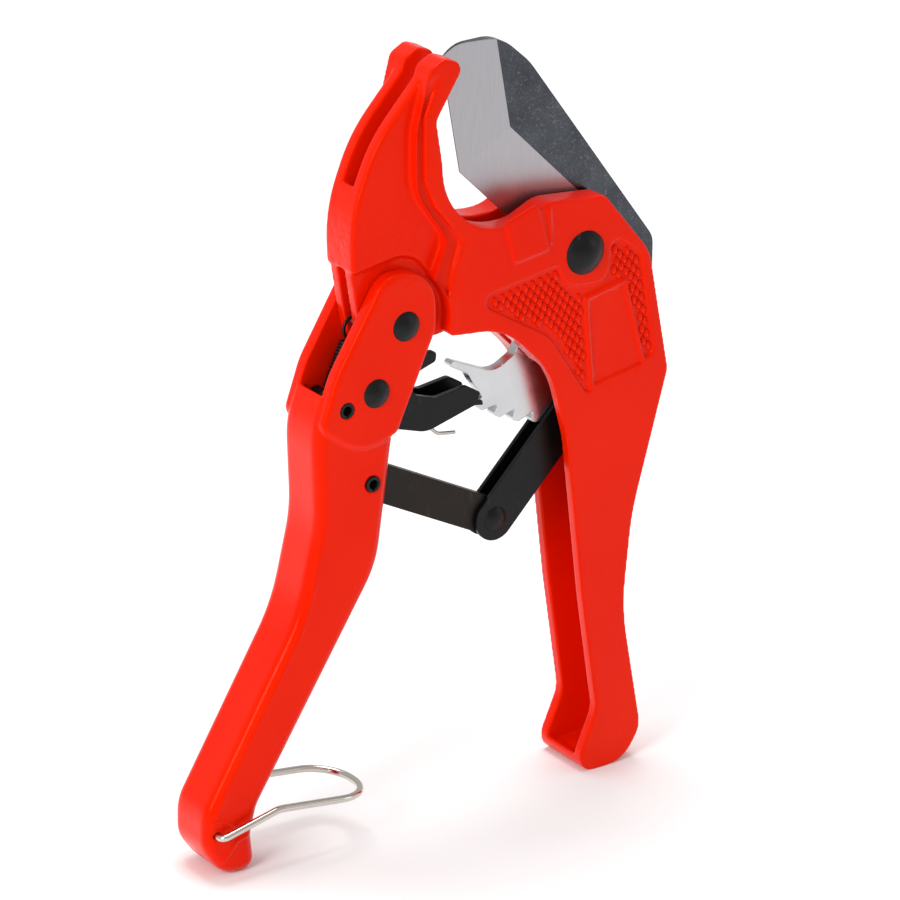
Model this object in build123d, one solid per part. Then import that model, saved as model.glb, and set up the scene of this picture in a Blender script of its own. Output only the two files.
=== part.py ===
"""Ratcheting pipe cutter, standing on the feet of its two handles, in millimetres.

The working parts all turn about axes that run front to back (Y), so each piece is an outline in
the (x, z) plane with a thickness in y. Outlines are drawn from one datum between the handles, and
stand() then puts the finished tool on z = 0 with its middle at x = 0. The front is -Y.
"""

from build123d import *
from math import asin, cos, hypot, radians, sin
import os

# Where the drawing datum lies once the tool stands on its feet.
DATUM_X = 2.464
DATUM_Z = 99.7

# Pivots and pins, as (x, z) from the datum.
BLADE_PIVOT = (40.6, 43.5)
HANDLE_PIVOT = (-12.8, 35.3)
PAWL_PIVOT = (-21.5, 19.7)
SPRING_PIN = (-30.0, 17.0)
SPRING_ANCHOR = (-21.4, 35.6)
LINK_PIN = (-22.2, -4.3)
ELBOW = (18.0, -25.0)
TAIL_PIN = (47.2, 5.0)
BAIL_HOLE = (-68.5, -87.6)

# Half thicknesses across the tool.
BODY_HALF = 9.0
WEB_HALF = 6.0
LUG_HALF = 4.7
GRIP_HALF = 8.0
HANDLE_GAP_HALF = 5.0
CHANNEL_GAP_HALF = 6.0
SLOT_HALF = 2.4
BLADE_HALF = 1.5
LINK_INNER = 1.8
LINK_OUTER = 2.8
PAWL_INNER = 3.1
PAWL_OUTER = 4.6

PIN_CLEARANCE = 0.06

# Ratchet teeth on the blade's tail, as radii and angles about the blade pivot.
TOOTH_TIP_R = 46.5
TOOTH_ROOT_R = 43.4
FIRST_TOOTH = 233.6
TOOTH_PITCH = 7.7
TOOTH_COUNT = 6

# Shank radii of the rivets and pins.
BLADE_RIVET_R = 4.0
HANDLE_RIVET_R = 2.6
PAWL_RIVET_R = 2.5
ELBOW_RIVET_R = 1.9
TAIL_RIVET_R = 1.7
ROLL_PIN_R = 2.0
ROLL_PIN_BORE = 1.25
ANCHOR_PIN_R = 1.1

BAIL_WIRE_R = 0.95
BAIL_LEG_Y = BODY_HALF + 0.3 + BAIL_WIRE_R


def outline(*corners):
    """Face with the given (x, z, radius) corners, drawn in the flat."""
    points = [(x, z) for x, z, _ in corners]
    radii = [radius for _, _, radius in corners]
    return make_face(FilletPolyline(*points, radius=radii, close=True))


def plate(face, back, front):
    """Solid of a flat outline between two depths, given as the larger y and then the smaller."""
    return extrude(Plane.XZ.offset(-back) * face, back - front)


def slab(face, half):
    """Solid of a flat outline, centred on the middle of the tool."""
    return plate(face, half, -half)


def disc(centre, radius):
    return Pos(*centre) * Circle(radius)


def bar(centre, radius, back, front):
    return plate(disc(centre, radius), back, front)


def stand(piece):
    """Puts a piece drawn from the datum where it is on the standing tool."""
    return Pos(DATUM_X, 0, DATUM_Z) * piece


def polar(radius, angle, centre=BLADE_PIVOT):
    """Point at a radius and an angle in degrees about a centre."""
    return (centre[0] + radius * cos(radians(angle)), centre[1] + radius * sin(radians(angle)))


def along(start, end, distance, side=0.0):
    """Point a distance from start towards end, shifted to the left of that line by side."""
    length = hypot(end[0] - start[0], end[1] - start[1])
    ux = (end[0] - start[0]) / length
    uz = (end[1] - start[1]) / length
    return (start[0] + ux * distance - uz * side, start[1] + uz * distance + ux * side)


def rivet(centre, shank_r, half_length, head_r, head_h):
    """Solid rivet with the same domed head on the front and on the back."""
    sphere_r = (head_r**2 + head_h**2) / (2 * head_h)
    half_angle = asin(head_r / sphere_r) / 2
    middle = (sphere_r * sin(half_angle), half_length + head_h - sphere_r * (1 - cos(half_angle)))
    top = (0, half_length + head_h)
    rim = (head_r, half_length)
    profile = Line((0, 0), (shank_r, 0)) + Line((shank_r, 0), (shank_r, half_length))
    profile += Line((shank_r, half_length), rim) + ThreePointArc(rim, middle, top) + Line(top, (0, 0))
    half = revolve(Plane.XZ * make_face(profile), Axis.Z)
    whole = half + mirror(half, Plane.XY)
    return Plane(origin=(centre[0], 0, centre[1]), z_dir=(0, -1, 0)) * whole


# --- frame ----------------------------------------------------------------------------------------


def body_outline():
    """Jaw rim, body and fixed handle: everything that has the full thickness."""
    return outline(
        (0.3, 29.9, 1.5), (-4.4, 45.3, 5), (-0.2, 55, 5), (-9.6, 68.5, 14), (-9.6, 84, 22),
        (-5.6, 99.0, 3), (-1.5, 101.3, 2.2), (4.6, 99.2, 2.6), (-3.8, 86.0, 3.2), (-1.9, 74, 20),
        (-1.9, 55, 18.4), (20.5, 55, 10), (29.0, 58.9, 9), (46.6, 57.4, 3), (60.6, 40.0, 12),
        (66.8, 7, 6), (56.3, -30, 70), (53.6, -56, 60), (59.9, -91, 7), (54.6, -99.7, 9),
        (41.5, -99.7, 4), (40.6, -94.5, 5), (45.7, -83, 9), (40.8, -50, 90), (35.6, -5, 30),
        (30.5, 14, 25), (16.5, 28.4, 20), (6, 29.3, 8),
    )


def web_outline():
    """Thinner sickle of the hook, inside its thick rim."""
    return outline(
        (-1.0, 101.2, 1.5), (-6.0, 96.6, 8), (-19.5, 82.0, 40), (-26.8, 64.0, 40), (-26.2, 50.0, 1),
        (-12.0, 52.4, 8), (-7.4, 50.4, 5), (-3.0, 45.0, 1), (6, 46, 1), (3.5, 56, 6), (-3.6, 70, 20),
        (-4.6, 86, 20), (1.5, 98, 1),
    )


def lug_outline():
    """Tongue that the moving handle's ears straddle."""
    return outline(
        (-26.0, 51.0, 1), (-24.0, 38.0, 10), (-22.5, 31.0, 4), (-13.0, 28.6, 4), (1.0, 29.4, 1),
        (4.0, 40.0, 1), (0.0, 55.0, 1), (-12.0, 55.0, 1),
    )


def blade_slot():
    """Room for the blade and its tail, right through the jaw, the back of the hook and the body."""
    upper = outline(
        (-30.0, 73.6, 0), (-22.6, 71.0, 1), (-1.0, 47.5, 2), (10, 40, 0), (66, 40, 0), (90, 40, 0),
        (90, 115, 0), (-30, 115, 0),
    )
    right = outline((40, 16.5, 0), (90, 16.5, 0), (90, 60, 0), (40, 60, 0))
    middle = disc(BLADE_PIVOT, 43.9) & outline((-10, 12, 0), (62.4, 12, 0), (62.4, 60, 0), (-10, 60, 0))
    lower_left = disc(BLADE_PIVOT, 49.0) & outline((2, -20, 0), (52, -20, 0), (52, 16, 0), (2, 16, 0))
    return slab(upper, SLOT_HALF) + slab(right, SLOT_HALF) + slab(middle + lower_left, SLOT_HALF)


def spring_notch():
    """Narrow slot in the edge of the lug where the opening spring is anchored."""
    return slab(outline((-32, 27, 0), (-18.0, 27, 0), (-17.6, 38, 2), (-24, 50.4, 1), (-32, 51, 0)), 1.6)


def channel_hollow():
    """Inside of the fixed handle: a channel open towards the moving handle."""
    return slab(
        outline(
            (20, 16, 0), (62.0, 16, 2), (63.6, 7, 4), (53.2, -30, 60), (50.5, -56, 60),
            (56.4, -88, 5), (54.2, -96.0, 5), (44.5, -96.4, 2), (40, -94.8, 0), (20, -94.8, 0),
        ),
        CHANNEL_GAP_HALF,
    )


def saddle_pad():
    """Raised wedge beside the saddle, on the front face only."""
    pad = outline((16.2, 56.4, 1), (25.8, 59.5, 1), (29.6, 46.7, 1), (19.0, 45.2, 1))
    return plate(pad, -BODY_HALF + 0.4, -BODY_HALF - 0.7)


def knurl_outline():
    """Shallow triangular recess that holds the diamond knurl."""
    return outline(
        (7.0, 37.6, 2.2), (32.5, 41.6, 1), (35.2, 35.6, 5), (47.6, 34.2, 4), (49.0, 46.6, 2),
        (58.0, 40.0, 3), (62.2, 12.0, 2), (41.5, 5.6, 2), (30.0, 23.5, 12), (17.5, 31.0, 6),
    )


def label_outline():
    return outline((40.4, 31.6, 0.8), (53.4, 34.2, 0.8), (60.0, 9.2, 0.8), (42.6, 6.2, 0.8))


def make_body_frame():
    """One aluminium casting: hooked jaw, body, lug and fixed handle."""
    body = slab(body_outline(), BODY_HALF)
    web = slab(web_outline(), WEB_HALF)
    web = fillet(web.faces().filter_by(Axis.Y).edges(), 0.9)
    lug = slab(lug_outline(), LUG_HALF)
    ear_room = disc(HANDLE_PIVOT, 13.2)
    body -= plate(ear_room, 20, LUG_HALF) + plate(ear_room, -LUG_HALF, -20)
    frame = body + web + lug
    frame += saddle_pad()
    knurl_recess = knurl_outline() - label_outline()
    frame -= plate(knurl_recess, -BODY_HALF + 0.8, -BODY_HALF - 1)
    frame -= plate(knurl_recess, BODY_HALF + 1, BODY_HALF - 0.8)
    frame -= blade_slot()
    frame -= channel_hollow()
    frame -= spring_notch()
    frame -= bar(BLADE_PIVOT, BLADE_RIVET_R, 20, -20)
    frame -= bar(HANDLE_PIVOT, HANDLE_RIVET_R + PIN_CLEARANCE, 20, -20)
    frame -= bar(SPRING_ANCHOR, ANCHOR_PIN_R, 20, -20)
    return frame


# --- blade and its drive --------------------------------------------------------------------------


def tooth_points():
    """Corners of the ratchet teeth: steep face towards the pawl, long back away from it."""
    points = []
    for k in range(TOOTH_COUNT):
        start = FIRST_TOOTH + k * TOOTH_PITCH
        points.append((*polar(TOOTH_ROOT_R, start), 0.4))
        points.append((*polar(TOOTH_TIP_R, start - 0.3), 0.8))
        points.append((*polar(TOOTH_TIP_R + 0.1, start + 2.6), 0.9))
    return points


def make_blade():
    """Hollow-ground steel blade with the ratchet sector on its tail, all one plate."""
    upper = [
        (3.5, 98.4, 0.6), (8.9, 68.1, 0.4), (21.0, 56.1, 0), (31.0, 46.0, 3), (29.5, 30.0, 8),
        (24.8, 17.6, 4), (18.5, 14.2, 6), (5.6, 20.0, 0.8), (5.3, 18.4, 0.8), (10.4, 15.6, 3),
        (12.0, 12.6, 2),
    ]
    tail = [(*polar(TOOTH_ROOT_R, 280.5), 1.5), (52.6, 3.5, 3), (53.2, 13.0, 12), (58.5, 24.0, 12)]
    back = [(66.8, 31.0, 3), (66.9, 40.4, 6), (28.6, 93.4, 20), (20.0, 101.1, 12), (7.4, 101.3, 9)]
    blade = slab(outline(*upper, *tooth_points(), *tail, *back), BLADE_HALF)
    blade -= bevel_cut()
    blade -= bar(BLADE_PIVOT, BLADE_RIVET_R + PIN_CLEARANCE, 20, -20)
    blade -= bar(TAIL_PIN, TAIL_RIVET_R + PIN_CLEARANCE, 20, -20)
    return blade


def bevel_cut():
    """Waste beyond the two ground facets of each face; they meet in a ridge at the blade's corner."""
    tip = (2.6, 104.0)
    corner = (8.9, 68.1)
    heel = (32.0, 45.2)
    waste = facet_wedge(tip, corner, 15.4, 20) + facet_wedge(corner, heel, 16.6, 0)
    return waste + mirror(waste, Plane.XZ)


def facet_wedge(start, end, width, before):
    """Wedge above one facet of the back face: full thickness at its ridge, sharp along start-end."""
    length = hypot(end[0] - start[0], end[1] - start[1])
    wedge = Polyline((-0.4, 0.12), (-0.4, 6), (width, 6), (width, BLADE_HALF), close=True)
    solid = extrude(Plane.XY * make_face(wedge), before + length)
    inward = along(start, end, 0, 1)
    x_dir = Vector(inward[0] - start[0], 0, inward[1] - start[1])
    z_dir = Vector(end[0] - start[0], 0, end[1] - start[1])
    origin = along(start, end, -before)
    return Plane(origin=(origin[0], 0, origin[1]), x_dir=x_dir, z_dir=z_dir) * solid


def make_blade_washers():
    """Two thin washers that centre the blade in its slot."""
    ring = disc(BLADE_PIVOT, 8.0) - disc(BLADE_PIVOT, BLADE_RIVET_R)
    front = plate(ring, -BLADE_HALF - 0.3, -SLOT_HALF)
    back = plate(ring, SLOT_HALF, BLADE_HALF + 0.3)
    return Compound(children=[front, back])


def make_channel_link():
    """Pressed steel channel from the blade's tail to the elbow."""
    radius = 5.7
    length = hypot(TAIL_PIN[0] - ELBOW[0], TAIL_PIN[1] - ELBOW[1])
    corners = [along(ELBOW, TAIL_PIN, -radius, radius), along(ELBOW, TAIL_PIN, length + radius, radius),
               along(ELBOW, TAIL_PIN, length + radius, -radius), along(ELBOW, TAIL_PIN, -radius, -radius)]
    side = outline(*[(x, z, radius - 0.01) for x, z in corners])
    link = plate(side, -LINK_INNER, -LINK_OUTER) + plate(side, LINK_OUTER, LINK_INNER)
    back = [along(ELBOW, TAIL_PIN, 3.0, -radius), along(ELBOW, TAIL_PIN, 31.5, -radius),
            along(ELBOW, TAIL_PIN, 31.5, 1.0 - radius), along(ELBOW, TAIL_PIN, 3.0, 1.0 - radius)]
    link += slab(make_face(Polyline(*back, close=True)), LINK_OUTER)
    link -= bar(ELBOW, ELBOW_RIVET_R, 20, -20)
    link -= bar(TAIL_PIN, TAIL_RIVET_R, 20, -20)
    return link


def make_flat_link():
    """Flat bar from the elbow to the moving handle, with a slot for the handle's pin."""
    half_width = 4.8
    length = hypot(LINK_PIN[0] - ELBOW[0], LINK_PIN[1] - ELBOW[1])
    slot_in = 1.6
    slot_out = 7.4
    pin_r = ROLL_PIN_R + 0.45
    near = -half_width
    far = length + slot_out + pin_r + 1.2
    corners = [along(ELBOW, LINK_PIN, near, half_width), along(ELBOW, LINK_PIN, far, half_width),
               along(ELBOW, LINK_PIN, far, -half_width), along(ELBOW, LINK_PIN, near, -half_width)]
    rounds = (half_width - 0.01, 3.0, 3.0, half_width - 0.01)
    link = slab(outline(*[(*p, r) for p, r in zip(corners, rounds)]), BLADE_HALF)
    slot = [along(ELBOW, LINK_PIN, length - slot_in - pin_r, pin_r),
            along(ELBOW, LINK_PIN, length + slot_out + pin_r, pin_r),
            along(ELBOW, LINK_PIN, length + slot_out + pin_r, -pin_r),
            along(ELBOW, LINK_PIN, length - slot_in - pin_r, -pin_r)]
    link -= slab(outline(*[(*p, pin_r - 0.01) for p in slot]), BLADE_HALF)
    link -= bar(ELBOW, ELBOW_RIVET_R + PIN_CLEARANCE, 20, -20)
    return link


def make_pawl():
    """Pressed steel pawl: a channel whose bottom pushes the teeth, with a release finger on top."""
    side = outline(
        (-27.4, 22.0, 3), (-22.0, 26.4, 2.5), (-12.0, 24.6, 5), (-1.0, 25.2, 1.1), (-1.2, 22.4, 1.1),
        (-10.0, 19.6, 2.4), (-7.2, 14.6, 2), (-1.0, 12.6, 4), (8.0, 13.8, 2.5), (12.2, 11.2, 1.0),
        (10.8, 8.2, 0.5), (-4.0, 4.2, 8), (-13.5, 7.2, 5), (-20, 13.0, 4), (-27.4, 15.0, 3),
    )
    pawl = plate(side, -PAWL_INNER, -PAWL_OUTER) + plate(side, PAWL_OUTER, PAWL_INNER)
    floor = outline(
        (12.7, 8.9, 0.2), (12.9, 7.7, 0.2), (10.4, 8.1, 0.3), (1.0, 5.55, 0.3), (1.0, 7.0, 0.3),
        (10.2, 9.7, 0.3),
    )
    pawl += slab(floor, PAWL_OUTER)
    pawl -= bar(PAWL_PIVOT, PAWL_RIVET_R + PIN_CLEARANCE, 20, -20)
    return pawl


# --- moving handle --------------------------------------------------------------------------------


def handle_outline():
    return outline(
        (-18.8, 49.2, 7), (-3.7, 49.0, 10), (-3.5, 33, 7), (-15.2, 7.5, 25), (-17.9, -12, 30),
        (-20.0, -26.5, 28), (-56.0, -82.8, 9), (-57.9, -90, 6), (-57.0, -99.7, 3.4), (-66, -99.7, 7),
        (-71.9, -91.5, 9), (-71.6, -82, 12), (-43.5, -35.6, 50), (-37.7, -12, 40), (-38.4, 12, 25),
        (-33.0, 26.0, 25),
    )


def boss_outline():
    """Thicker ear and upper grip, ending in an arc below the pawl rivet."""
    return outline(
        (-18.8, 49.2, 7), (-3.7, 49.0, 10), (-3.5, 33, 7), (-15.0, 8.0, 2.5), (-25, 3.6, 13),
        (-37.6, 13.0, 3), (-33.0, 26.0, 20),
    )


def handle_hollow():
    """Channel inside the moving handle, open to the inside and at the back of the ears."""
    return slab(
        outline(
            (10, 60, 0), (-45, 60, 0), (-45, 25.4, 0), (-33.6, 20.0, 0), (-35.6, 12.0, 4),
            (-35.3, -12, 35), (-41.1, -36.6, 45), (-68.0, -80.0, 3), (-58.0, -84.0, 3), (-40, -76, 0),
            (10, -30, 0),
        ),
        HANDLE_GAP_HALF,
    )


def make_moving_handle():
    """Second casting: two ears, a channel-shaped grip and a solid foot."""
    grip = slab(handle_outline(), GRIP_HALF)
    grip = fillet(grip.faces().filter_by(Axis.Y).edges(), 3.0)
    boss = slab(boss_outline(), BODY_HALF)
    boss = fillet(boss.faces().filter_by(Axis.Y).edges(), 1.2)
    handle = grip + boss - handle_hollow()
    handle -= bar(HANDLE_PIVOT, HANDLE_RIVET_R, 20, -20)
    handle -= bar(PAWL_PIVOT, PAWL_RIVET_R, 20, -20)
    handle -= bar(SPRING_PIN, ROLL_PIN_R, 20, -20)
    handle -= bar(LINK_PIN, ROLL_PIN_R, 20, -20)
    handle -= bar(BAIL_HOLE, BAIL_WIRE_R + PIN_CLEARANCE, 20, 4.0)
    handle -= bar(BAIL_HOLE, BAIL_WIRE_R + PIN_CLEARANCE, -4.0, -20)
    return handle


def make_roll_pin(centre, half_length):
    """Hollow pin rolled from strip, with the slit along its lower side."""
    pin = bar(centre, ROLL_PIN_R, half_length, -half_length)
    pin -= bar(centre, ROLL_PIN_BORE, half_length, -half_length)
    slit = Pos(centre[0], centre[1] - ROLL_PIN_R) * Rectangle(0.5, 2 * ROLL_PIN_R)
    return pin - slab(slit, half_length)


def make_opening_spring():
    """Close-wound extension spring, drawn as its tube with a closed end and a loop at each end."""
    coil_r = 2.9
    wire = 0.9
    length = hypot(SPRING_PIN[0] - SPRING_ANCHOR[0], SPRING_PIN[1] - SPRING_ANCHOR[1])
    start = 5.2
    end = length - 3.0
    base = along(SPRING_ANCHOR, SPRING_PIN, start)
    axis = (SPRING_PIN[0] - SPRING_ANCHOR[0], 0, SPRING_PIN[1] - SPRING_ANCHOR[1])
    foot = Plane(origin=(base[0], 0, base[1]), x_dir=(0, 1, 0), z_dir=axis)
    coil = extrude(foot * Circle(coil_r), end - start)
    coil -= extrude(foot.offset(wire) * Circle(coil_r - wire), end - start - 2 * wire)
    anchor_eye = along(SPRING_ANCHOR, SPRING_PIN, 1.5)
    pin_eye = along(SPRING_ANCHOR, SPRING_PIN, length - 0.1)
    coil += slab(disc(anchor_eye, 2.9 + wire) - disc(anchor_eye, 2.9), wire / 2)
    coil += slab(disc(pin_eye, 2.3 + wire) - disc(pin_eye, 2.3), wire / 2)
    return coil


def make_pawl_spring():
    """Torsion spring round the pawl rivet: its coil and the leg that shows below the pawl."""
    coil = slab(disc(PAWL_PIVOT, PAWL_RIVET_R + 0.9) - disc(PAWL_PIVOT, PAWL_RIVET_R + 0.3), 3.0)
    depth = -2.5
    corners = [(-24.2, 17.9), (-9.5, 6.6), (-1.6, 4.2), (0.6, 2.0), (5.9, 1.3)]
    points = [(x, depth, z) for x, z in corners]
    path = FilletPolyline(*points, radius=[2.0, 1.0, 1.0])
    foot = Plane(origin=points[0], z_dir=(points[1][0] - points[0][0], 0, points[1][2] - points[0][2]))
    return coil + sweep(foot * Circle(0.5), path)


def make_locking_bail():
    """Wire loop hinged in the moving handle's foot; it hooks over the other foot."""
    knee = (-52.0, -83.7)
    end = (-23.6, -87.3)
    x0, z0 = BAIL_HOLE
    inner = 4.6
    points = [
        (x0, -inner, z0), (x0, -BAIL_LEG_Y, z0), (knee[0], -BAIL_LEG_Y, knee[1]),
        (end[0], -BAIL_LEG_Y, end[1]), (end[0], BAIL_LEG_Y, end[1]),
        (knee[0], BAIL_LEG_Y, knee[1]), (x0, BAIL_LEG_Y, z0), (x0, inner, z0),
    ]
    path = FilletPolyline(*points, radius=[1.6, 8, 9.8, 9.8, 8, 1.6])
    start = Plane(origin=points[0], z_dir=(0, -1, 0))
    return sweep(start * Circle(BAIL_WIRE_R), path)


PIECES = {
    "body_frame": make_body_frame,
    "moving_handle": make_moving_handle,
    "blade": make_blade,
    "blade_pivot_rivet": lambda: rivet(BLADE_PIVOT, BLADE_RIVET_R, BODY_HALF, 5.75, 2.6),
    "blade_washers": make_blade_washers,
    "handle_pivot_rivet": lambda: rivet(HANDLE_PIVOT, HANDLE_RIVET_R, BODY_HALF, 3.85, 1.4),
    "pawl": make_pawl,
    "pawl_rivet": lambda: rivet(PAWL_PIVOT, PAWL_RIVET_R, BODY_HALF, 3.75, 1.6),
    "pawl_spring": make_pawl_spring,
    "opening_spring": make_opening_spring,
    "spring_anchor_pin": lambda: bar(SPRING_ANCHOR, ANCHOR_PIN_R, LUG_HALF, -LUG_HALF),
    "spring_roll_pin": lambda: make_roll_pin(SPRING_PIN, BODY_HALF),
    "link_roll_pin": lambda: make_roll_pin(LINK_PIN, GRIP_HALF + 0.4),
    "flat_link": make_flat_link,
    "channel_link": make_channel_link,
    "elbow_rivet": lambda: rivet(ELBOW, ELBOW_RIVET_R, LINK_OUTER, 3.3, 1.1),
    "tail_rivet": lambda: rivet(TAIL_PIN, TAIL_RIVET_R, LINK_OUTER, 3.0, 0.9),
    "locking_bail": make_locking_bail,
}


def main():
    os.makedirs("parts", exist_ok=True)
    for name, make in PIECES.items():
        export_step(stand(make()), f"parts/{name}.step")


if __name__ == "__main__":
    main()
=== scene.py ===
import math

import bmesh
import bpy
import numpy as np
from mathutils import Matrix, Vector


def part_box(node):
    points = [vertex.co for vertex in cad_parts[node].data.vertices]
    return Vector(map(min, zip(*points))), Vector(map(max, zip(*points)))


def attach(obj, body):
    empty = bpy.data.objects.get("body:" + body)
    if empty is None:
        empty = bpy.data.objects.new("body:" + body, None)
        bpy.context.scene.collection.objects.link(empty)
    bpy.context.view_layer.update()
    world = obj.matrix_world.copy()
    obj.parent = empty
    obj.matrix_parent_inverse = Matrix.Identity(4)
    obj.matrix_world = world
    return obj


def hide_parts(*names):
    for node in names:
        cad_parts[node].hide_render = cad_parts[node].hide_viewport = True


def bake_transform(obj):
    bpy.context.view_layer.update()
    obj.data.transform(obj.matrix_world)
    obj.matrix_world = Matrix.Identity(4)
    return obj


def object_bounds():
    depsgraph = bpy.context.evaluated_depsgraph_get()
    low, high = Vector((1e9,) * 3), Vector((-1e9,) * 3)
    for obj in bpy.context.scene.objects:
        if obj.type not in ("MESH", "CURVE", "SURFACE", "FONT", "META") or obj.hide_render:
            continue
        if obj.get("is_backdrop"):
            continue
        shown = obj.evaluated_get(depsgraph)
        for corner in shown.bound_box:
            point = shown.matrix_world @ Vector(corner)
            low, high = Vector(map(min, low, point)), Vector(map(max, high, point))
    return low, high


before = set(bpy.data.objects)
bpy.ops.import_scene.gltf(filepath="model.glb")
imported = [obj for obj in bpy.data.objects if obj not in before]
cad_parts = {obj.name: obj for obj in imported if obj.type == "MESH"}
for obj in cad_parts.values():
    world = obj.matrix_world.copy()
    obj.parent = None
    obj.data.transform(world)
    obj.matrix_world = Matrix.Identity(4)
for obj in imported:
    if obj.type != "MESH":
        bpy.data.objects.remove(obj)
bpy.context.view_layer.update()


# --- Frame casting --------------------------------------------------------------------------------
# The hooked jaw, body and fixed handle are one aluminium pressure casting. The casting leaves soft
# corners and a little hammering by the hinge lug, and the whole piece is powder coated gloss red.

# Where the drawing datum lies on the standing tool, and the heights of the cast steps, in millimetres.
DATUM = (2.464, 0.0, 99.7)
LABEL_DEPTH = 0.55
RIM_DEPTH = 1.4
SADDLE_RISE = 0.45


def at(x, y, z):
    """Point in metres from drawing millimetres, whose datum lies between the two handles."""
    return Vector(((x + DATUM[0]) / 1000, y / 1000, (z + DATUM[2]) / 1000))


def paint(code):
    """Linear RGBA from a six-figure sRGB hex colour."""
    parts = [int(code[i:i + 2], 16) / 255 for i in (0, 2, 4)]
    return tuple(p / 12.92 if p <= 0.04045 else ((p + 0.055) / 1.055) ** 2.4 for p in parts) + (1.0,)


def add(tree, kind, sockets=None, **settings):
    """Adds one node. sockets gives each named or numbered input a value or an output to link to."""
    made = tree.nodes.new(kind)
    for key, value in settings.items():
        setattr(made, key, value)
    for key, value in (sockets or {}).items():
        if isinstance(value, bpy.types.NodeSocket):
            tree.links.new(value, made.inputs[key])
        else:
            made.inputs[key].default_value = value
    return made


def new_material(name):
    """Empty node material and its shader, with the shader wired to the output."""
    material = bpy.data.materials.new(name)
    material.use_nodes = True
    material.node_tree.nodes.clear()
    shader = add(material.node_tree, "ShaderNodeBsdfPrincipled")
    add(material.node_tree, "ShaderNodeOutputMaterial", {"Surface": shader.outputs[0]})
    return material, material.node_tree, shader


def softened(name, node, voxel, passes):
    """Copy of a sharp CAD casting with its corners rounded as a mould leaves them, and its faces flat."""
    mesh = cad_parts[node].data.copy()
    joined = bmesh.new()
    joined.from_mesh(mesh)
    bmesh.ops.remove_doubles(joined, verts=joined.verts, dist=2e-6)
    joined.to_mesh(mesh)
    joined.free()
    work = bpy.data.objects.new(name + "_work", mesh)
    bpy.context.scene.collection.objects.link(work)
    remesh = work.modifiers.new("remesh", "REMESH")
    remesh.mode = "VOXEL"
    remesh.voxel_size = voxel
    ease = work.modifiers.new("ease", "SMOOTH")
    ease.factor = 0.5
    ease.iterations = passes
    skin = bpy.data.meshes.new_from_object(work.evaluated_get(bpy.context.evaluated_depsgraph_get()))
    bpy.data.objects.remove(work)
    skin.name = name
    return skin


def coordinates(mesh):
    """Vertex places in drawing millimetres, and the vertex normals."""
    place = np.zeros(len(mesh.vertices) * 3)
    mesh.vertices.foreach_get("co", place)
    normal = np.zeros(len(mesh.vertices) * 3, np.float32)
    mesh.vertex_normals.foreach_get("vector", normal)
    place = place.reshape(-1, 3) * 1000 - np.array(DATUM)
    return place, normal.reshape(-1, 3)


def distance_to(path, place, closed=False):
    """Distance of each vertex from a run of straight lines drawn on the side faces."""
    ends = path[1:] + path[:1] if closed else path[1:]
    best = np.full(len(place), 1e9)
    for (ax, az), (bx, bz) in zip(path, ends):
        along = np.array([bx - ax, bz - az])
        rel = place[:, [0, 2]] - np.array([ax, az])
        share = np.clip(rel @ along / (along @ along), 0, 1)
        best = np.minimum(best, np.hypot(*(rel - share[:, None] * along).T))
    return best


def inside(loop, place):
    """Which vertices lie inside a closed loop drawn on the side faces."""
    found = np.zeros(len(place), bool)
    x, z = place[:, 0], place[:, 2]
    for (ax, az), (bx, bz) in zip(loop, loop[1:] + loop[:1]):
        crosses = (az > z) != (bz > z)
        reach = (bx - ax) * (z - az) / ((bz - az) or 1e-9) + ax
        found ^= crosses & (x < reach)
    return found


def press_in(mesh, place, normal, height):
    """Moves the side faces in or out by a height in millimetres, positive outwards."""
    facing = np.clip((np.abs(normal[:, 1]) - 0.75) / 0.2, 0, 1)
    place[:, 1] += np.sign(normal[:, 1]) * height * facing
    mesh.vertices.foreach_set("co", ((place + np.array(DATUM)) / 1000).ravel())
    mesh.update()


def thinned(mesh, name, share):
    """Object whose flat stretches carry fewer faces than its corners, shaded smooth."""
    piece = bpy.data.objects.new(name, mesh)
    bpy.context.scene.collection.objects.link(piece)
    fewer = piece.modifiers.new("fewer", "DECIMATE")
    fewer.ratio = share
    mesh.shade_smooth()
    flats = piece.modifiers.new("flats", "WEIGHTED_NORMAL")
    flats.mode = "FACE_AREA"
    final = bpy.data.meshes.new_from_object(piece.evaluated_get(bpy.context.evaluated_depsgraph_get()))
    piece.modifiers.clear()
    piece.data = final
    return piece


LABEL = [(40.4, 31.6), (53.4, 34.2), (60.0, 9.2), (42.6, 6.2)]
KNURL = [(7.6, 37.2), (32.0, 41.0), (34.4, 35.4), (38.5, 33.2), (48.6, 33.6), (49.6, 45.4), (58.2, 39.4),
         (62.2, 12.8), (42.0, 5.8), (30.8, 24.2), (18.2, 31.4)]

# Powder coat: polyester resin flowed out in the oven, so its gloss carries a fine orange peel.
red_coat, tree, coat = new_material("red_powder_coat_gloss")
spot = add(tree, "ShaderNodeTexCoord")
fine_peel = add(tree, "ShaderNodeTexNoise", {"Vector": spot.outputs["Object"], "Scale": 620.0,
                                             "Detail": 2.0})
broad_peel = add(tree, "ShaderNodeTexNoise", {"Vector": spot.outputs["Object"], "Scale": 150.0,
                                              "Detail": 1.5})
hammered = add(tree, "ShaderNodeTexNoise", {"Vector": spot.outputs["Object"], "Scale": 330.0, "Detail": 3.0})
where = add(tree, "ShaderNodeSeparateXYZ", {0: spot.outputs["Object"]})
low_edge = add(tree, "ShaderNodeMapRange", {"Value": where.outputs["Z"], "From Min": 0.170,
                                            "From Max": 0.158})
left_edge = add(tree, "ShaderNodeMapRange", {"Value": where.outputs["X"], "From Min": -0.001,
                                             "From Max": -0.004})
top_edge = add(tree, "ShaderNodeMapRange", {"Value": where.outputs["Z"], "From Min": 0.142,
                                            "From Max": 0.146})
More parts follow.
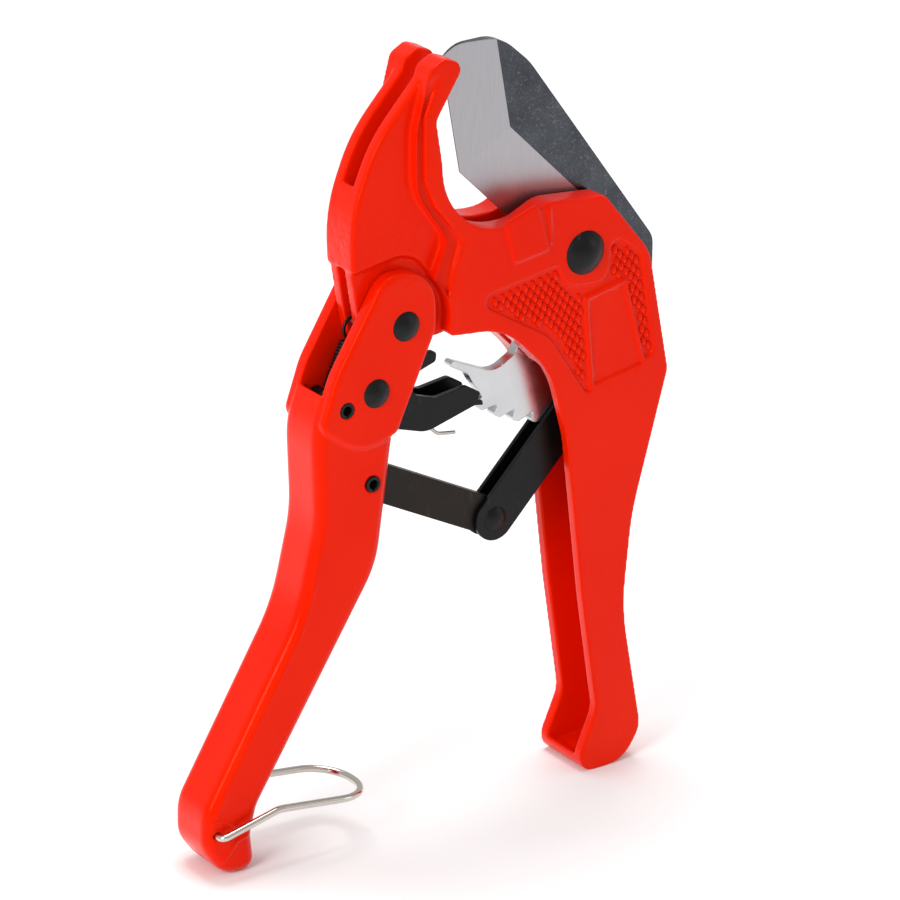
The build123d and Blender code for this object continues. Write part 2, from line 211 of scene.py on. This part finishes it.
patch = add(tree, "ShaderNodeMath", {0: low_edge.outputs[0], 1: left_edge.outputs[0]}, operation="MULTIPLY")
patch = add(tree, "ShaderNodeMath", {0: patch.outputs[0], 1: top_edge.outputs[0]}, operation="MULTIPLY")
rough_cast = add(tree, "ShaderNodeMath", {0: patch.outputs[0],
                                          1: hammered.outputs["Fac"]}, operation="MULTIPLY")
peel = add(tree, "ShaderNodeBump", {"Height": fine_peel.outputs["Fac"], "Strength": 0.10,
                                    "Distance": 0.00018})
flow = add(tree, "ShaderNodeBump", {"Height": broad_peel.outputs["Fac"], "Strength": 0.16,
                                    "Distance": 0.0005,
                                    "Normal": peel.outputs[0]})
hammer = add(tree, "ShaderNodeBump", {"Height": rough_cast.outputs[0], "Strength": 0.4, "Distance": 0.0008,
                                      "Normal": flow.outputs[0]})
shade = add(tree, "ShaderNodeTexNoise", {"Vector": spot.outputs["Object"], "Scale": 28.0, "Detail": 3.0})
tint = add(tree, "ShaderNodeMix", {"Factor": shade.outputs["Fac"], 6: paint("DC1000"), 7: paint("EC2200")},
           data_type="RGBA")
polish = add(tree, "ShaderNodeMapRange", {"Value": shade.outputs["Fac"], "To Min": 0.20, "To Max": 0.30})
tree.links.new(tint.outputs[2], coat.inputs["Base Color"])
tree.links.new(polish.outputs[0], coat.inputs["Roughness"])
tree.links.new(hammer.outputs[0], coat.inputs["Normal"])
coat.inputs["IOR"].default_value = 1.42
coat.inputs["Specular Tint"].default_value = paint("FF5A2A")
coat.inputs["Coat Weight"].default_value = 0.05
coat.inputs["Coat Roughness"].default_value = 0.10

skin = softened("frame_casting", "body_frame", 0.00033, 7)
place, normal = coordinates(skin)
border = distance_to(LABEL, place, closed=True)
height = np.where(inside(LABEL, place), -LABEL_DEPTH * np.clip((border - 1.1) / 0.4, 0, 1), 0.0)
rim_edge = [(-4.6, 99.5), (-9.8, 88), (-9.7, 70.8), (-6.4, 62.7), (-2.0, 57.2), (0.7, 53.6), (-1.0, 48.4),
            (-2.4, 42)]
on_rim = (np.abs(place[:, 1]) > 8.2) & (place[:, 0] > -12) & (place[:, 0] < 6) & (place[:, 2] > 36)
step = np.clip((2.9 - distance_to(rim_edge, place)) / 0.5, 0, 1)
height -= RIM_DEPTH * on_rim * step * np.clip((97.5 - place[:, 2]) / 6, 0, 1)
saddle_rib = [(29.5, 57.0), (30.1, 48.6)]
height += SADDLE_RISE * np.exp(-(distance_to(saddle_rib, place) / 0.55) ** 2)
press_in(skin, place, normal, height)
frame_casting = thinned(skin, "frame_casting", 0.22)
frame_casting.data.materials.clear()
frame_casting.data.materials.append(red_coat)
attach(frame_casting, "frame")
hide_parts("body_frame")


# --- Knurled grip patch ---------------------------------------------------------------------------
# A triangular patch of diamond points is cast into both faces round the label plate, for the thumb.
# The points are part of the casting and wear the same coat.

def lattice(loop, hole, across, along, lean, margin):
    """Points of a staggered diamond lattice inside a loop and outside a hole, in drawing millimetres."""
    c, s = math.cos(math.radians(lean)), math.sin(math.radians(lean))
    rows = []
    for j in range(-60, 60):
        for i in range(-50, 50):
            u = (i + 0.5 * (j % 2)) * across
            v = j * along
            rows.append((35 + u * c - v * s, 0.0, 22 + u * s + v * c))
    rows = np.array(rows)
    keep = inside(loop, rows) & ~inside(hole, rows)
    keep &= (distance_to(loop, rows, closed=True) > margin) & (distance_to(hole, rows, closed=True) > margin)
    return rows[keep]


def named_input(tree, label, kind):
    """Adds a named input to a geometry tree and gives its identifier."""
    return tree.interface.new_socket(label, in_out="INPUT", socket_type=kind).identifier


def grown(name, mesh, tree, values):
    """Plain mesh object grown from a mesh by a geometry tree, with its inputs set by identifier."""
    seed = bpy.data.objects.new(name, mesh)
    bpy.context.scene.collection.objects.link(seed)
    grower = seed.modifiers.new("grower", "NODES")
    grower.node_group = tree
    for key, value in values.items():
        grower[key] = value
    result = bpy.data.meshes.new_from_object(seed.evaluated_get(bpy.context.evaluated_depsgraph_get()))
    seed.modifiers.clear()
    seed.data = result
    return seed


diamonds = bpy.data.node_groups.new("cast_diamonds", "GeometryNodeTree")
diamonds.interface.new_socket("Points", in_out="INPUT", socket_type="NodeSocketGeometry")
half_width = named_input(diamonds, "Half width", "NodeSocketFloat")
rise = named_input(diamonds, "Rise", "NodeSocketFloat")
facing = named_input(diamonds, "Facing", "NodeSocketVector")
diamonds.interface.new_socket("Diamonds", in_out="OUTPUT", socket_type="NodeSocketGeometry")
given = add(diamonds, "NodeGroupInput")
blank = add(diamonds, "GeometryNodeMeshCone", {"Vertices": 8, "Side Segments": 2, "Radius Top": 0.00018,
                                               "Radius Bottom": given.outputs[1], "Depth": given.outputs[2]})
drop = add(diamonds, "GeometryNodeTransform", {"Geometry": blank.outputs["Mesh"], "Scale": (0.9, 1.5, 1.0)})
sown = add(diamonds, "GeometryNodeInstanceOnPoints", {"Points": given.outputs[0],
                                                      "Instance": drop.outputs[0],
                                                      "Rotation": given.outputs[3]})
real = add(diamonds, "GeometryNodeRealizeInstances", {0: sown.outputs[0]})
coated = add(diamonds, "GeometryNodeSetMaterial", {"Geometry": real.outputs[0], "Material": red_coat})
add(diamonds, "NodeGroupOutput", {0: coated.outputs[0]})

# Spacing of the diamonds across and along their rows, the rows' slant in degrees, the bare border and
# the depth of their feet.
DIAMOND_ACROSS = 2.3
DIAMOND_ALONG = 1.72
DIAMOND_LEAN = 10.0
DIAMOND_MARGIN = 0.75
DIAMOND_BASE = 8.12

spots = lattice(KNURL, LABEL, DIAMOND_ACROSS, DIAMOND_ALONG, DIAMOND_LEAN, DIAMOND_MARGIN)
for side, word in ((-1, "front"), (1, "back")):
    seeds = bpy.data.meshes.new("knurl_seeds_" + word)
    seeds.from_pydata([at(x, side * DIAMOND_BASE, z) for x, _, z in spots], [], [])
    points = grown("knurl_points_" + word, seeds, diamonds,
                   {half_width: 0.00118, rise: 0.00075,
                    facing: (math.radians(-90 * side), math.radians(-DIAMOND_LEAN), 0)})
    points.data.shade_smooth()
    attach(points, "frame")


# --- Moving handle --------------------------------------------------------------------------------
# The second casting: two ears that straddle the frame's lug, and a channel-shaped grip with a solid
# toe. It wears the same coat. Its thicker boss ends in a soft arc below the pawl rivet.

skin = softened("handle_casting", "moving_handle", 0.00036, 6)
place, normal = coordinates(skin)
grip_crease = [(-37.4, -15.4), (-39.8, -28.9), (-42.8, -37.6), (-49.0, -48.3), (-56.3, -59.7),
               (-64.7, -73.6),
               (-68.6, -82.0)]
height = 0.32 * np.exp(-(distance_to(grip_crease, place) / 0.6) ** 2) * (np.abs(place[:, 1]) > 6.5)
toe_lines = [[(-67.2, -95.1), (-66.1, -93.9), (-64.6, -92.4), (-63.2, -90.4), (-60.9, -89.7),
             (-57.5, -89.5)],
             [(-70.0, -84.0), (-68.5, -83.7), (-66.4, -84.0), (-64.4, -85.0), (-62.9, -86.4)]]
for line in toe_lines:
    height += 0.35 * np.exp(-(distance_to(line, place) / 0.45) ** 2)
press_in(skin, place, normal, height)
handle_casting = thinned(skin, "handle_casting", 0.32)
handle_casting.data.materials.clear()
handle_casting.data.materials.append(red_coat)
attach(handle_casting, "moving_handle")
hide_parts("moving_handle")


# --- Blade ----------------------------------------------------------------------------------------
# One plate of hardened tool steel. Its two cutting edges are ground to satin facets, the body's dark
# tone is a painted dark reflection with real scuffs over it, and the ratchet tail is tumbled bright.

def bare_metal(name, colour, rough, edge):
    """Metal material with a worn round edge: gives the material, its tree, shader, place and edge normal."""
    material, tree, shader = new_material(name)
    shader.inputs["Metallic"].default_value = 1.0
    shader.inputs["Base Color"].default_value = paint(colour)
    shader.inputs["Roughness"].default_value = rough
    spot = add(tree, "ShaderNodeTexCoord")
    worn = add(tree, "ShaderNodeBevel", {"Radius": edge}, samples=4)
    return material, tree, shader, spot.outputs["Object"], worn.outputs[0]


blade_steel, tree, steel, spot, worn = bare_metal("hardened_tool_steel_ground", "8A8A8E", 0.2, 0.0003)
true_face = add(tree, "ShaderNodeNewGeometry")
face_parts = add(tree, "ShaderNodeSeparateXYZ", {0: true_face.outputs["True Normal"]})
flatness = add(tree, "ShaderNodeMath", {0: face_parts.outputs["Y"]}, operation="ABSOLUTE")
ground = add(tree, "ShaderNodeMath", {0: flatness.outputs[0], 1: 0.9985}, operation="LESS_THAN")
not_rim = add(tree, "ShaderNodeMath", {0: flatness.outputs[0], 1: 0.9}, operation="GREATER_THAN")
facet = add(tree, "ShaderNodeMath", {0: ground.outputs[0], 1: not_rim.outputs[0]}, operation="MULTIPLY")
where = add(tree, "ShaderNodeSeparateXYZ", {0: spot})
tail = add(tree, "ShaderNodeMapRange", {"Value": where.outputs["Z"], "From Min": 0.134, "From Max": 0.126})
clouds = add(tree, "ShaderNodeTexNoise", {"Vector": spot, "Scale": 90.0, "Detail": 6.0, "Roughness": 0.65})
slanted = add(tree, "ShaderNodeMapping", {"Vector": spot, "Rotation": (0.0, math.radians(38), 0.0),
                                          "Scale": (3000.0, 10.0, 120.0)})
grind = add(tree, "ShaderNodeTexNoise", {"Vector": slanted.outputs[0], "Scale": 1.0, "Detail": 3.0})
scratch = add(tree, "ShaderNodeTexNoise", {"Vector": spot, "Scale": 700.0, "Detail": 5.0, "Roughness": 0.7,
                                           "Distortion": 2.5})
scuffs = add(tree, "ShaderNodeMapRange", {"Value": scratch.outputs["Fac"], "From Min": 0.54,
                                          "From Max": 0.72,
                                          "To Max": 0.45})
# Painted reflection: the blade body's dark, clouded base tone stands in for the dark surroundings it
# reflects.
painted_reflection_body = add(tree, "ShaderNodeMix", {"Factor": clouds.outputs["Fac"], 6: paint("23252A"),
                                        7: paint("62656B")},
                data_type="RGBA")
scuffed = add(tree, "ShaderNodeMix", {"Factor": scuffs.outputs[0], 6: painted_reflection_body.outputs[2],
                                      7: paint("9A9CA0")},
              data_type="RGBA")
tumbled = add(tree, "ShaderNodeMix", {"Factor": clouds.outputs["Fac"], 6: paint("B4B5B8"),
                                      7: paint("DCDDDF")},
              data_type="RGBA")
body_tone = add(tree, "ShaderNodeMix", {"Factor": tail.outputs[0], 6: scuffed.outputs[2],
                                        7: tumbled.outputs[2]},
                data_type="RGBA")
facet_tone = add(tree, "ShaderNodeMix", {"Factor": grind.outputs["Fac"], 6: paint("A6A4A8"),
                                         7: paint("BAB8BC")},
                 data_type="RGBA")
tone = add(tree, "ShaderNodeMix", {"Factor": facet.outputs[0], 6: body_tone.outputs[2],
                                   7: facet_tone.outputs[2]},
           data_type="RGBA")
body_gloss = add(tree, "ShaderNodeMapRange", {"Value": clouds.outputs["Fac"], "To Min": 0.16,
                                              "To Max": 0.34})
gloss = add(tree, "ShaderNodeMix", {"Factor": facet.outputs[0], 2: body_gloss.outputs[0], 3: 0.38},
            data_type="FLOAT")
grind_height = add(tree, "ShaderNodeMath", {0: grind.outputs["Fac"],
                                            1: facet.outputs[0]}, operation="MULTIPLY")
lines = add(tree, "ShaderNodeBump", {"Height": grind_height.outputs[0], "Strength": 0.12, "Distance": 0.0002,
                                     "Normal": worn})
pits = add(tree, "ShaderNodeBump", {"Height": clouds.outputs["Fac"], "Strength": 0.08, "Distance": 0.0004,
                                    "Normal": lines.outputs[0]})
tree.links.new(tone.outputs[2], steel.inputs["Base Color"])
tree.links.new(gloss.outputs[0], steel.inputs["Roughness"])
tree.links.new(pits.outputs[0], steel.inputs["Normal"])


def finish_node(node, material):
    """Gives a CAD node its finish and leaves its shape alone."""
    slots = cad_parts[node].material_slots
    for entry in slots:
        entry.material = material
    if not slots:
        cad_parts[node].data.materials.append(material)


finish_node("blade", blade_steel)


# --- Rivets ---------------------------------------------------------------------------------------
# Solid steel rivets hold the blade, the handle and the pawl. Their domed heads were spun over, which
# leaves faint rings, and they are blacked with oxide like the pawl and the links.

def blacked(name, dark, light, rough, edge):
    """Oxide-blacked steel: semi-gloss, with cloudy tone and fine handling scratches."""
    material, tree, shader, spot, worn = bare_metal(name, dark, rough, edge)
    shader.inputs["Metallic"].default_value = 0.65
    mottle = add(tree, "ShaderNodeTexNoise", {"Vector": spot, "Scale": 260.0, "Detail": 5.0})
    stretched = add(tree, "ShaderNodeMapping", {"Vector": spot, "Rotation": (0.0, math.radians(27), 0.0),
                                                "Scale": (500.0, 500.0, 140.0)})
    rubs = add(tree, "ShaderNodeTexNoise", {"Vector": stretched.outputs[0], "Scale": 1.0, "Detail": 2.0})
    rubbed = add(tree, "ShaderNodeMapRange", {"Value": rubs.outputs["Fac"], "From Min": 0.62,
                                              "From Max": 0.85,
                                              "To Max": 0.25})
    base = add(tree, "ShaderNodeMix", {"Factor": mottle.outputs["Fac"], 6: paint(dark), 7: paint(light)},
               data_type="RGBA")
    tone = add(tree, "ShaderNodeMix", {"Factor": rubbed.outputs[0], 6: base.outputs[2], 7: paint("5B5B5D")},
               data_type="RGBA")
    sheen = add(tree, "ShaderNodeMapRange", {"Value": mottle.outputs["Fac"], "To Min": rough - 0.08,
                                             "To Max": rough + 0.10})
    grain = add(tree, "ShaderNodeBump", {"Height": mottle.outputs["Fac"], "Strength": 0.12,
                                         "Distance": 0.0002,
                                         "Normal": worn})
    tree.links.new(tone.outputs[2], shader.inputs["Base Color"])
    tree.links.new(sheen.outputs[0], shader.inputs["Roughness"])
    tree.links.new(grain.outputs[0], shader.inputs["Normal"])
    return material, tree, shader, spot, grain.outputs[0]


for node in ("blade_pivot_rivet", "handle_pivot_rivet", "pawl_rivet", "elbow_rivet", "tail_rivet"):
    head, tree, shader, spot, grain = blacked("black_oxide_" + node, "0D0D0E", "1B1B1D", 0.34, 0.00015)
    low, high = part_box(node)
    centred = add(tree, "ShaderNodeMapping", {"Vector": spot, "Location": -(low + high) / 2})
    flat = add(tree, "ShaderNodeVectorMath", {0: centred.outputs[0],
                                              1: (1.0, 0.0, 1.0)}, operation="MULTIPLY")
    radius = add(tree, "ShaderNodeVectorMath", {0: flat.outputs[0]}, operation="LENGTH")
    phase = add(tree, "ShaderNodeMath", {0: radius.outputs["Value"], 1: 9000.0}, operation="MULTIPLY")
    rings = add(tree, "ShaderNodeMath", {0: phase.outputs[0]}, operation="SINE")
    spun = add(tree, "ShaderNodeBump", {"Height": rings.outputs[0], "Strength": 0.05, "Distance": 0.0002,
                                        "Normal": grain})
    tree.links.new(spun.outputs[0], shader.inputs["Normal"])
    finish_node(node, head)


# --- Pawl and links -------------------------------------------------------------------------------
# The pawl and the channel link are pressed from strip and blacked; the flat link is blanked from
# bar with a browner phosphate coat. Their edges are slightly rounded, and faint rubs mark the black.

pawl_black = blacked("black_oxide_pressed_strip", "0C0C0D", "1A1A1B", 0.33, 0.0004)[0]
link_brown = blacked("phosphate_blanked_bar", "15110E", "2A211B", 0.42, 0.0003)[0]
for node in ("pawl", "channel_link"):
    finish_node(node, pawl_black)
finish_node("flat_link", link_brown)


# --- Pins and washers -----------------------------------------------------------------------------
# Two slotted roll pins press through the handle and show their black hollow ends. A plain pin in
# the lug anchors the opening spring, and two thin washers centre the blade.

roll_black = blacked("black_spring_pin_steel", "101011", "222224", 0.36, 0.0002)[0]
for node in ("spring_roll_pin", "link_roll_pin"):
    finish_node(node, roll_black)
pin_steel, tree, shader, spot, worn = bare_metal("plain_pin_steel", "9B9B9D", 0.3, 0.0002)
tree.links.new(worn, shader.inputs["Normal"])
for node in ("spring_anchor_pin", "blade_washers"):
    finish_node(node, pin_steel)


# --- Springs --------------------------------------------------------------------------------------
# A black close-wound spring, hooked over the lug's pin and the upper roll pin, opens the handles.
# A bright torsion spring round the pawl rivet holds the pawl up against the teeth.

winding = bpy.data.node_groups.new("wound_wire", "GeometryNodeTree")
winding.interface.new_socket("Blank", in_out="INPUT", socket_type="NodeSocketGeometry")
coil_radius = named_input(winding, "Coil radius", "NodeSocketFloat")
wire_radius = named_input(winding, "Wire radius", "NodeSocketFloat")
turns = named_input(winding, "Turns", "NodeSocketFloat")
rise_total = named_input(winding, "Length", "NodeSocketFloat")
wire_finish = named_input(winding, "Finish", "NodeSocketMaterial")
winding.interface.new_socket("Wire", in_out="OUTPUT", socket_type="NodeSocketGeometry")
given = add(winding, "NodeGroupInput")
helix = add(winding, "GeometryNodeCurveSpiral", {"Resolution": 28, "Rotations": given.outputs[3],
                                                 "Start Radius": given.outputs[1],
                                                 "End Radius": given.outputs[1], "Height": given.outputs[4]})
section = add(winding, "GeometryNodeCurvePrimitiveCircle", {"Resolution": 10, "Radius": given.outputs[2]})
drawn = add(winding, "GeometryNodeCurveToMesh", {"Curve": helix.outputs[0],
                                                 "Profile Curve": section.outputs[0], "Fill Caps": True})
real = add(winding, "GeometryNodeRealizeInstances", {0: drawn.outputs[0]})
finished = add(winding, "GeometryNodeSetMaterial", {"Geometry": real.outputs[0],
                                                    "Material": given.outputs[5]})
add(winding, "NodeGroupOutput", {0: finished.outputs[0]})


def wire_through(name, points, radius, material):
    """Round wire bent smoothly through points, as a plain mesh."""
    line = bpy.data.curves.new(name, "CURVE")
    line.dimensions = "3D"
    line.bevel_depth = radius
    line.bevel_resolution = 3
    line.use_fill_caps = True
    run = line.splines.new("NURBS")
    run.points.add(len(points) - 1)
    for spot, point in zip(run.points, points):
        spot.co = (*point, 1)
    run.order_u = 3
    run.use_endpoint_u = True
    run.resolution_u = 8
    bent = bpy.data.objects.new(name, line)
    bpy.context.scene.collection.objects.link(bent)
    mesh = bpy.data.meshes.new_from_object(bent.evaluated_get(bpy.context.evaluated_depsgraph_get()))
    bpy.data.objects.remove(bent)
    mesh.materials.clear()
    mesh.materials.append(material)
    return mesh


def one_piece(name, meshes):
    """Joins meshes into one object whose place is in its mesh."""
    whole = bmesh.new()
    for mesh in meshes:
        whole.from_mesh(mesh)
    joined = bpy.data.meshes.new(name)
    whole.to_mesh(joined)
    whole.free()
    for material in meshes[0].materials:
        joined.materials.append(material)
    joined.shade_smooth()
    piece = bpy.data.objects.new(name, joined)
    bpy.context.scene.collection.objects.link(piece)
    return piece


def placed(axis, start):
    """Matrix that stands a coil's length along an axis from a start point."""
    turn = axis.normalized().to_track_quat("Z", "Y").to_matrix().to_4x4()
    return Matrix.Translation(start) @ turn


spring_black = blacked("black_music_wire", "0E0E0F", "232325", 0.3, 0.0001)[0]
# Wire radii of the spring's hooks and of the pawl spring's leg.
HOOK_WIRE = 0.00043
LEG_WIRE = 0.00046
anchor, pin = at(-21.4, 0, 35.6), at(-30.0, 0, 17.0)
pull = (pin - anchor).normalized()
side = Vector((-pull.z, 0, pull.x))
coil_start, coil_end = anchor + pull * 0.0053, pin - pull * 0.0031
blank = bpy.data.meshes.new("spring_blank")
coil = grown("spring_coil", blank, winding,
             {coil_radius: 0.0021, wire_radius: 0.0004, turns: 14.0,
              rise_total: (coil_end - coil_start).length, wire_finish: spring_black})
coil.data.transform(placed(pull, coil_start))
hooks = []
for centre, reach, away in ((anchor + pull * 0.0016, 0.0032, pull), (pin, 0.00265, -pull)):
    ring = [centre + away * 0.0042 + Vector((0, 0.0018, 0)), centre + away * reach * 1.05 + side * 0.0006]
    ring += [centre + away * reach * math.cos(t) + side * reach * math.sin(t)
             for t in (math.radians(v) for v in range(30, 331, 30))]
    hooks.append(wire_through("spring_hook", ring, HOOK_WIRE, spring_black))
opening_spring_wire = one_piece("opening_spring_wire", [coil.data] + hooks)
bpy.data.objects.remove(coil)
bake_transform(opening_spring_wire)
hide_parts("opening_spring")

bright_wire, tree, shader, spot, worn = bare_metal("bright_drawn_spring_wire", "B9B6B0", 0.22, 0.0001)
drawing = add(tree, "ShaderNodeTexNoise", {"Vector": spot, "Scale": 900.0, "Detail": 3.0})
fine_draw = add(tree, "ShaderNodeBump", {"Height": drawing.outputs["Fac"], "Strength": 0.1,
                                         "Distance": 0.0001})
tree.links.new(fine_draw.outputs[0], shader.inputs["Normal"])
blank = bpy.data.meshes.new("torsion_blank")
coil = grown("torsion_coil", blank, winding,
             {coil_radius: 0.0028, wire_radius: 0.00028, turns: 8.0, rise_total: 0.005,
              wire_finish: bright_wire})
coil.data.transform(placed(Vector((0, 1, 0)), at(-21.5, -2.6, 19.7)))
leg = wire_through("torsion_leg", [at(-24.3, -2.6, 18.2), at(-23.0, -2.6, 17.0), at(-9.9, -2.5, 6.9),
                                   at(-9.0, -2.5, 6.5), at(-2.2, -2.5, 4.4), at(-1.2, -2.5, 3.8),
                                   at(0.2, -2.5, 2.4), at(1.2, -2.5, 1.9), at(5.8, -2.5, 1.3)], LEG_WIRE,
                   bright_wire)
pawl_spring_wire = one_piece("pawl_spring_wire", [coil.data, leg])
bpy.data.objects.remove(coil)
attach(pawl_spring_wire, "pawl")
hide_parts("pawl_spring")


# --- Locking bail ---------------------------------------------------------------------------------
# A loop of nickel-plated spring wire, sprung into the handle's foot. It hooks over the other foot to
# hold the tool shut. The plating is bright, with faint drawing lines along the wire.

nickel, tree, shader, spot, worn = bare_metal("bright_nickel_plated_wire", "CFC9C0", 0.12, 0.0001)
draw_lines = add(tree, "ShaderNodeTexNoise", {"Vector": spot, "Scale": 500.0, "Detail": 4.0})
draw_gloss = add(tree, "ShaderNodeMapRange", {"Value": draw_lines.outputs["Fac"], "To Min": 0.08,
                                              "To Max": 0.24})
draw_bump = add(tree, "ShaderNodeBump", {"Height": draw_lines.outputs["Fac"], "Strength": 0.06,
                                         "Distance": 0.0002})
tree.links.new(draw_gloss.outputs[0], shader.inputs["Roughness"])
tree.links.new(draw_bump.outputs[0], shader.inputs["Normal"])
finish_node("locking_bail", nickel)


# --- Camera, light and floor ----------------------------------------------------------------------
# A long lens looks down on the tool from its front left. A soft box on the left, a larger one
# overhead, a weak fill and a narrow strip light it in a bright room, on a plain pale floor.

AZIMUTH = math.radians(-34.2)
ELEVATION = math.radians(22.2)
DISTANCE = 1.2346
LOOK_AT = at(0, -9, 0)

floor_mesh = bpy.data.meshes.new("studio_floor")
floor_build = bmesh.new()
bmesh.ops.create_grid(floor_build, x_segments=1, y_segments=1, size=4.0)
floor_build.to_mesh(floor_mesh)
floor_build.free()
floor = bpy.data.objects.new("studio_floor", floor_mesh)
bpy.context.scene.collection.objects.link(floor)
paper, tree, sheet = new_material("matt_white_paper")
sheet.inputs["Base Color"].default_value = paint("F6F6F6")
sheet.inputs["Roughness"].default_value = 0.9
floor.data.materials.append(paper)
floor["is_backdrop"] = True

world = bpy.data.worlds.new("studio_room")
world.use_nodes = True
world.node_tree.nodes["Background"].inputs[0].default_value = paint("FFFFFF")
world.node_tree.nodes["Background"].inputs[1].default_value = 0.58
bpy.context.scene.world = world

LAMPS = (("key_box", (-1.3, -0.5, 0.9), 0.5, 9), ("fill_box", (1.2, -1.0, 0.5), 0.6, 1.5),
         ("strip_box", (-0.75, -0.3, 0.3), 0.18, 1.0), ("top_box", (0.1, 0.3, 1.6), 0.8, 15))
for name, place, size, power in LAMPS:
    lamp = bpy.data.lights.new(name, "AREA")
    lamp.energy = power
    lamp.size = size
    holder = bpy.data.objects.new(name, lamp)
    bpy.context.scene.collection.objects.link(holder)
    holder.location = place
    holder.rotation_euler = (Vector((0, 0, 0.1)) - Vector(place)).to_track_quat("-Z", "Y").to_euler()

lens = bpy.data.cameras.new("long_lens")
lens.lens = 200
lens.sensor_width = 36
camera = bpy.data.objects.new("camera", lens)
bpy.context.scene.collection.objects.link(camera)
back = Vector((math.sin(AZIMUTH) * math.cos(ELEVATION), -math.cos(AZIMUTH) * math.cos(ELEVATION),
               math.sin(ELEVATION)))
camera.location = LOOK_AT + back * DISTANCE
camera.rotation_euler = (-back).to_track_quat("-Z", "Y").to_euler()
lens.clip_start = 0.05
lens.clip_end = 20
bpy.context.scene.camera = camera
bpy.context.scene.view_settings.view_transform = "Standard"

low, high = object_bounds()
